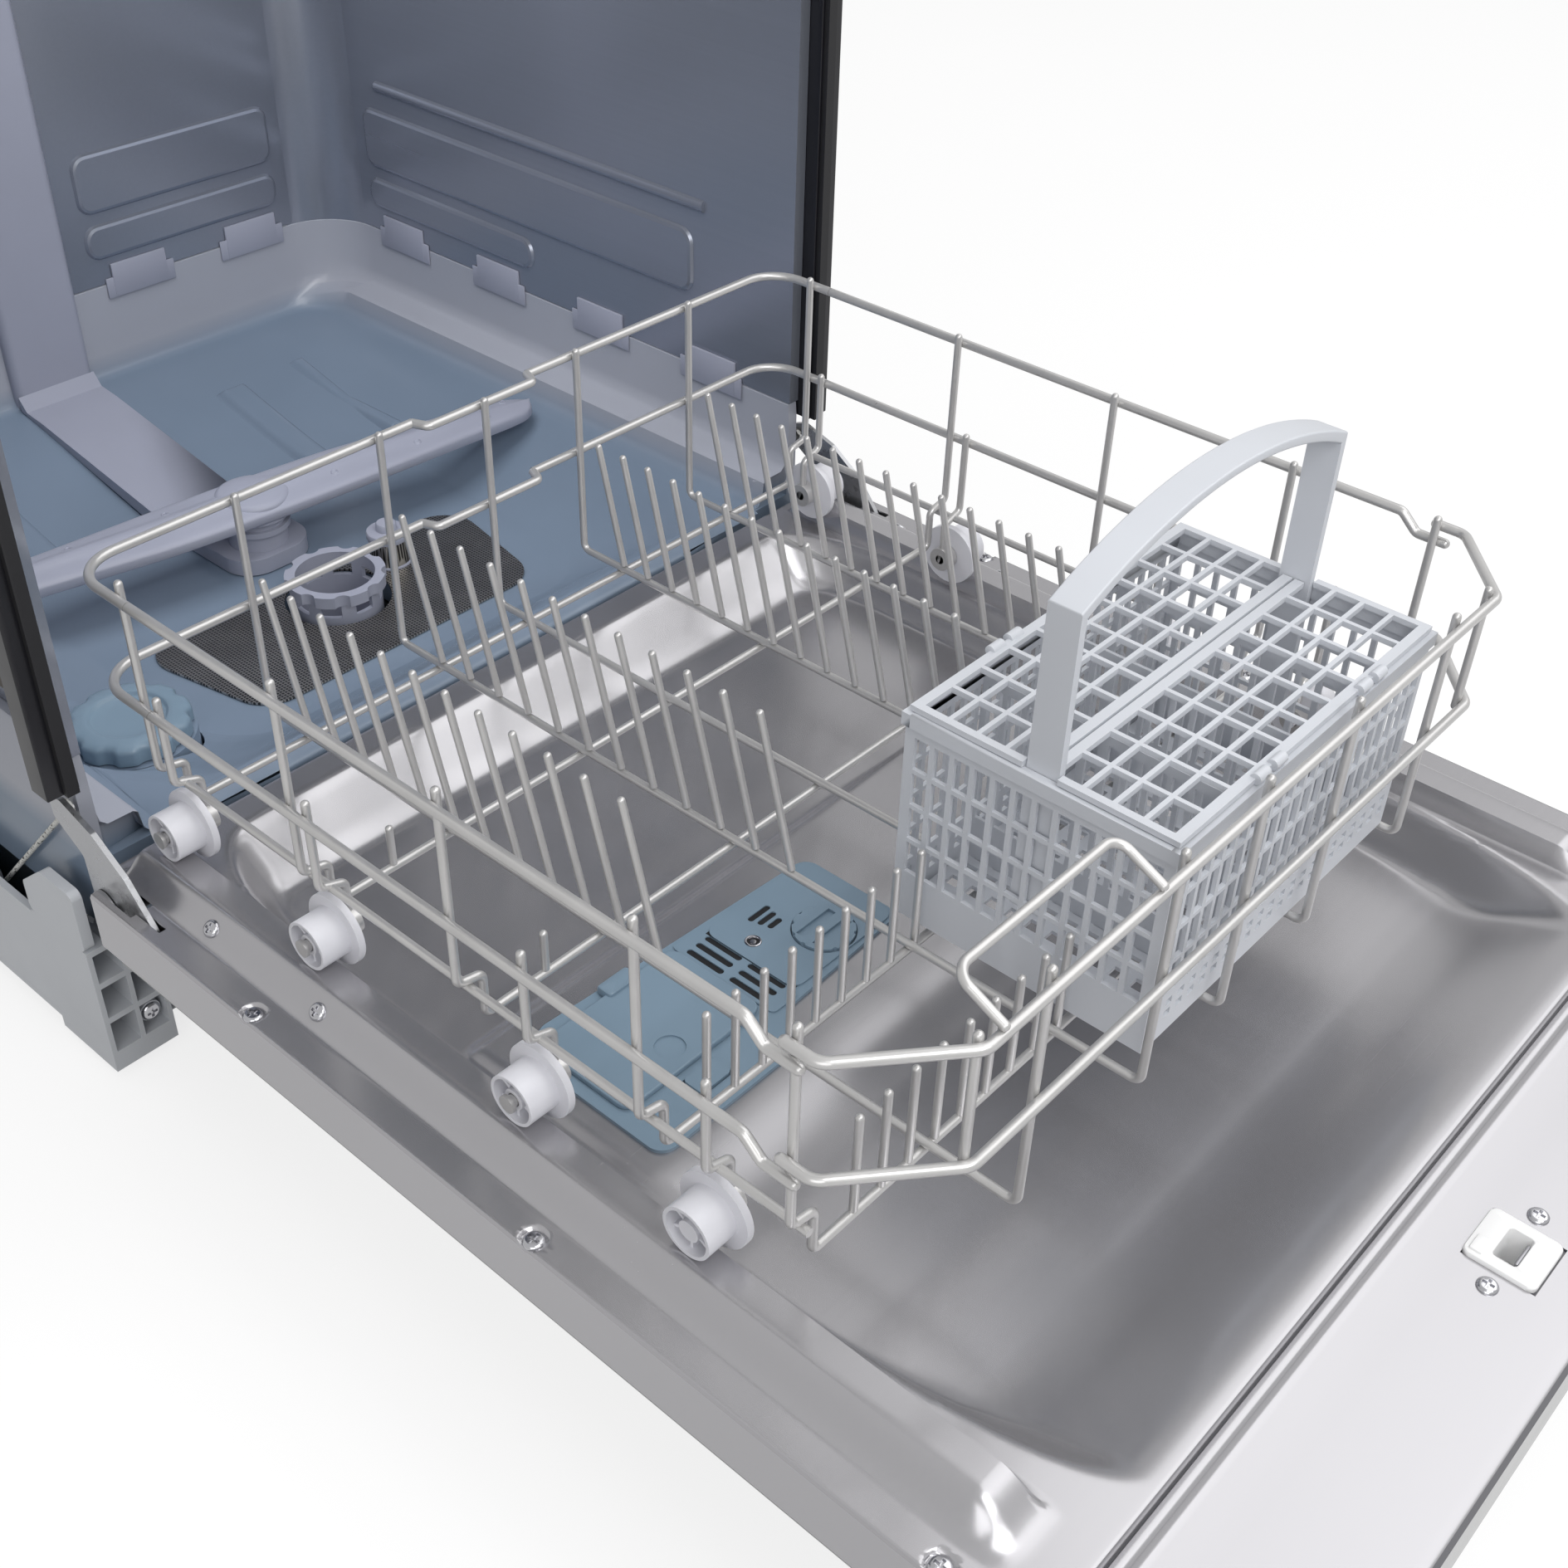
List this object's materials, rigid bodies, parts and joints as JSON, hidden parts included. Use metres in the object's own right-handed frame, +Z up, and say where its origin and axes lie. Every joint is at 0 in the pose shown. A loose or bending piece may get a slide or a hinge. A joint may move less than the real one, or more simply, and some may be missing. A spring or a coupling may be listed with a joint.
{
  "type": "dishwasher",
  "caption": "Built-in dishwasher with its drop-down door open, a wire lower rack rolled out on wheels, a lidded cutlery basket, spray arm, filter and door dispenser.",
  "frame": {"origin": "centre of the bounding box in plan, on the floor, with the door open", "axes": "+X to the right seen from the front, +Y to the back, +Z up; the door opens towards -Y"},
  "size_m": [0.598, 1.216, 0.82],
  "materials": {
    "tray_plastic": "moulded, satin",
    "tub_plastic": "moulded, smooth",
    "tub_steel": "cold rolled, bright",
    "door_steel": "satin stainless",
    "black_frame": "black, satin",
    "black_rubber": "matte",
    "zinc_sheet": "galvanised sheet",
    "felt": "needled felt",
    "mat_black": "bitumen sheet",
    "grey_plastic": "moulded, satin",
    "dark_plastic": "moulded, matte",
    "blue_grey_plastic": "moulded, satin",
    "hinge_steel": "zinc plated",
    "spring_steel": "drawn wire",
    "rope": "woven cord",
    "mesh_steel": "woven mesh",
    "coated_wire": "nylon coated wire",
    "wheel_plastic": "moulded, satin",
    "basket_plastic": "moulded, satin",
    "fascia_plastic": "gloss",
    "key_plastic": "gloss",
    "display_glass": "tinted",
    "latch_plastic": "moulded",
    "screw_steel": "bright",
    "iron_weight": "rough cast"
  },
  "bodies": {
    "cabinet": {"base_tray": "tray_plastic", "feet": "dark_plastic", "counterweight": "iron_weight", "tub_base": "tub_plastic", "tub_shell": "tub_steel", "front_frame": "black_frame", "door_seal": "black_rubber", "side_panels": "zinc_sheet", "back_panel": "zinc_sheet", "top_plate": "zinc_sheet", "insulation": "felt", "sump": "dark_plastic", "pumps": "dark_plastic", "softener_tank": "tub_plastic", "rear_connections": "dark_plastic", "drain_hose": "dark_plastic", "feed_duct": "grey_plastic", "top_sprinkler": "grey_plastic", "filter_plate": "mesh_steel", "hinge_brackets": "hinge_steel", "balance_ropes": "rope", "balance_springs": "spring_steel", "latch_striker": "screw_steel"},
    "door": {"door_inner": "door_steel", "door_outer": "zinc_sheet", "door_mat": "mat_black", "control_fascia": "fascia_plastic", "display_window": "display_glass", "door_latch": "latch_plastic", "dispenser": "blue_grey_plastic", "hinge_arms": "hinge_steel", "door_screws": "screw_steel"},
    "front_wheels": {"front_wheels": "wheel_plastic"},
    "lower_rack": {"rack_floor": "coated_wire", "rack_rear": "coated_wire", "rack_front": "coated_wire", "rack_side_left": "coated_wire", "rack_side_right": "coated_wire", "plate_tines": "coated_wire"},
    "cutlery_basket": {"basket": "basket_plastic", "basket_handle": "basket_plastic"},
    "basket_lid_front": {"basket_lid_front": "basket_plastic"},
    "basket_lid_rear": {"basket_lid_rear": "basket_plastic"},
    "spray_arm": {"spray_arm": "grey_plastic"},
    "filter_cup": {"filter_cup": "grey_plastic"},
    "salt_cap": {"salt_cap": "blue_grey_plastic"},
    "pulleys": {"pulleys": "grey_plastic"},
    "detergent_lid": {"detergent_lid": "blue_grey_plastic"},
    "lid_key": {"lid_key": "blue_grey_plastic"},
    "rinse_cap": {"rinse_cap": "blue_grey_plastic"},
    "power_key": {"power_key": "key_plastic"},
    "program_key": {"program_key": "key_plastic"},
    "option_key": {"option_key": "key_plastic"},
    "start_key": {"start_key": "key_plastic"},
    "wheel_left_1": {"wheel_left_1": "wheel_plastic"},
    "wheel_right_1": {"wheel_right_1": "wheel_plastic"},
    "wheel_left_2": {"wheel_left_2": "wheel_plastic"},
    "wheel_right_2": {"wheel_right_2": "wheel_plastic"},
    "wheel_left_3": {"wheel_left_3": "wheel_plastic"},
    "wheel_right_3": {"wheel_right_3": "wheel_plastic"}
  },
  "joints": [
    {"name": "door_hinge", "type": "hinge", "parent": "cabinet", "child": "door", "pos_m": [0, 0.072, 0.14], "axis": [1, 0, 0], "range_deg": [-90, 0], "deforming": ["balance_ropes", "balance_springs"]},
    {"name": "rack_roll", "type": "slide", "parent": "door", "child": "front_wheels", "axis": [0, 0.9873, 0.1589], "range_m": [0, 0.35298]},
    {"name": "rack_level", "type": "hinge", "parent": "front_wheels", "child": "lower_rack", "pos_m": [0, -0.315, 0.179], "axis": [1, 0, 0], "range_deg": [0, 90.5]},
    {"name": "pulley_turn", "type": "hinge", "parent": "cabinet", "child": "pulleys", "pos_m": [0, 0.238, 0.064], "axis": [1, 0, 0], "range_deg": [0, 215]},
    {"name": "wheel_left_1_spin", "type": "hinge", "parent": "lower_rack", "child": "wheel_left_1", "pos_m": [-0.249, 0.053, 0.179], "axis": [1, 0, 0], "continuous": true},
    {"name": "wheel_right_1_spin", "type": "hinge", "parent": "lower_rack", "child": "wheel_right_1", "pos_m": [0.249, 0.053, 0.179], "axis": [1, 0, 0], "continuous": true},
    {"name": "wheel_left_2_spin", "type": "hinge", "parent": "lower_rack", "child": "wheel_left_2", "pos_m": [-0.249, -0.064, 0.179], "axis": [1, 0, 0], "continuous": true},
    {"name": "wheel_right_2_spin", "type": "hinge", "parent": "lower_rack", "child": "wheel_right_2", "pos_m": [0.249, -0.064, 0.179], "axis": [1, 0, 0], "continuous": true},
    {"name": "wheel_left_3_spin", "type": "hinge", "parent": "lower_rack", "child": "wheel_left_3", "pos_m": [-0.249, -0.209, 0.179], "axis": [1, 0, 0], "continuous": true},
    {"name": "wheel_right_3_spin", "type": "hinge", "parent": "lower_rack", "child": "wheel_right_3", "pos_m": [0.249, -0.209, 0.179], "axis": [1, 0, 0], "continuous": true},
    {"name": "spray_arm_spin", "type": "hinge", "parent": "cabinet", "child": "spray_arm", "pos_m": [0, 0.342, 0.15], "axis": [0, 0, 1], "continuous": true},
    {"name": "filter_twist", "type": "hinge", "parent": "cabinet", "child": "filter_cup", "pos_m": [0, 0.257, 0.11], "axis": [0, 0, 1], "range_deg": [0, 60]},
    {"name": "salt_cap_turn", "type": "hinge", "parent": "cabinet", "child": "salt_cap", "pos_m": [-0.188, 0.206, 0.135], "axis": [0, 0, 1], "range_deg": [0, 180]},
    {"name": "basket_lift", "type": "slide", "parent": "lower_rack", "child": "cutlery_basket", "axis": [0, 0, 1], "range_m": [0, 0.25]},
    {"name": "front_lid_hinge", "type": "hinge", "parent": "cutlery_basket", "child": "basket_lid_front", "pos_m": [0.0565, -0.399, 0.3102], "axis": [1, 0, 0], "range_deg": [0, 100]},
    {"name": "rear_lid_hinge", "type": "hinge", "parent": "cutlery_basket", "child": "basket_lid_rear", "pos_m": [0.0565, -0.258, 0.3102], "axis": [-1, 0, 0], "range_deg": [0, 100]},
    {"name": "detergent_lid_slide", "type": "slide", "parent": "door", "child": "detergent_lid", "axis": [0, 1, 0], "range_m": [0, 0.055]},
    {"name": "lid_key_press", "type": "slide", "parent": "door", "child": "lid_key", "axis": [0, 0, -1], "range_m": [0, 0.0012], "stiffness_N_per_m": 600},
    {"name": "rinse_cap_turn", "type": "hinge", "parent": "door", "child": "rinse_cap", "pos_m": [-0.04, -0.203, 0.128], "axis": [0, 0, 1], "range_deg": [0, 90]},
    {"name": "power_key_press", "type": "slide", "parent": "door", "child": "power_key", "axis": [0, 0, 1], "range_m": [0, 0.002], "stiffness_N_per_m": 700},
    {"name": "program_key_press", "type": "slide", "parent": "door", "child": "program_key", "axis": [0, 0, 1], "range_m": [0, 0.002], "stiffness_N_per_m": 700},
    {"name": "option_key_press", "type": "slide", "parent": "door", "child": "option_key", "axis": [0, 0, 1], "range_m": [0, 0.002], "stiffness_N_per_m": 700},
    {"name": "start_key_press", "type": "slide", "parent": "door", "child": "start_key", "axis": [0, 0, 1], "range_m": [0, 0.002], "stiffness_N_per_m": 700}
  ],
  "couplings": [
    {"joint": "rack_roll", "follows": "door_hinge", "m_per_rad": -0.22439},
    {"joint": "rack_level", "follows": "door_hinge", "ratio": -1},
    {"joint": "pulley_turn", "follows": "door_hinge", "ratio": -2.32}
  ]
}
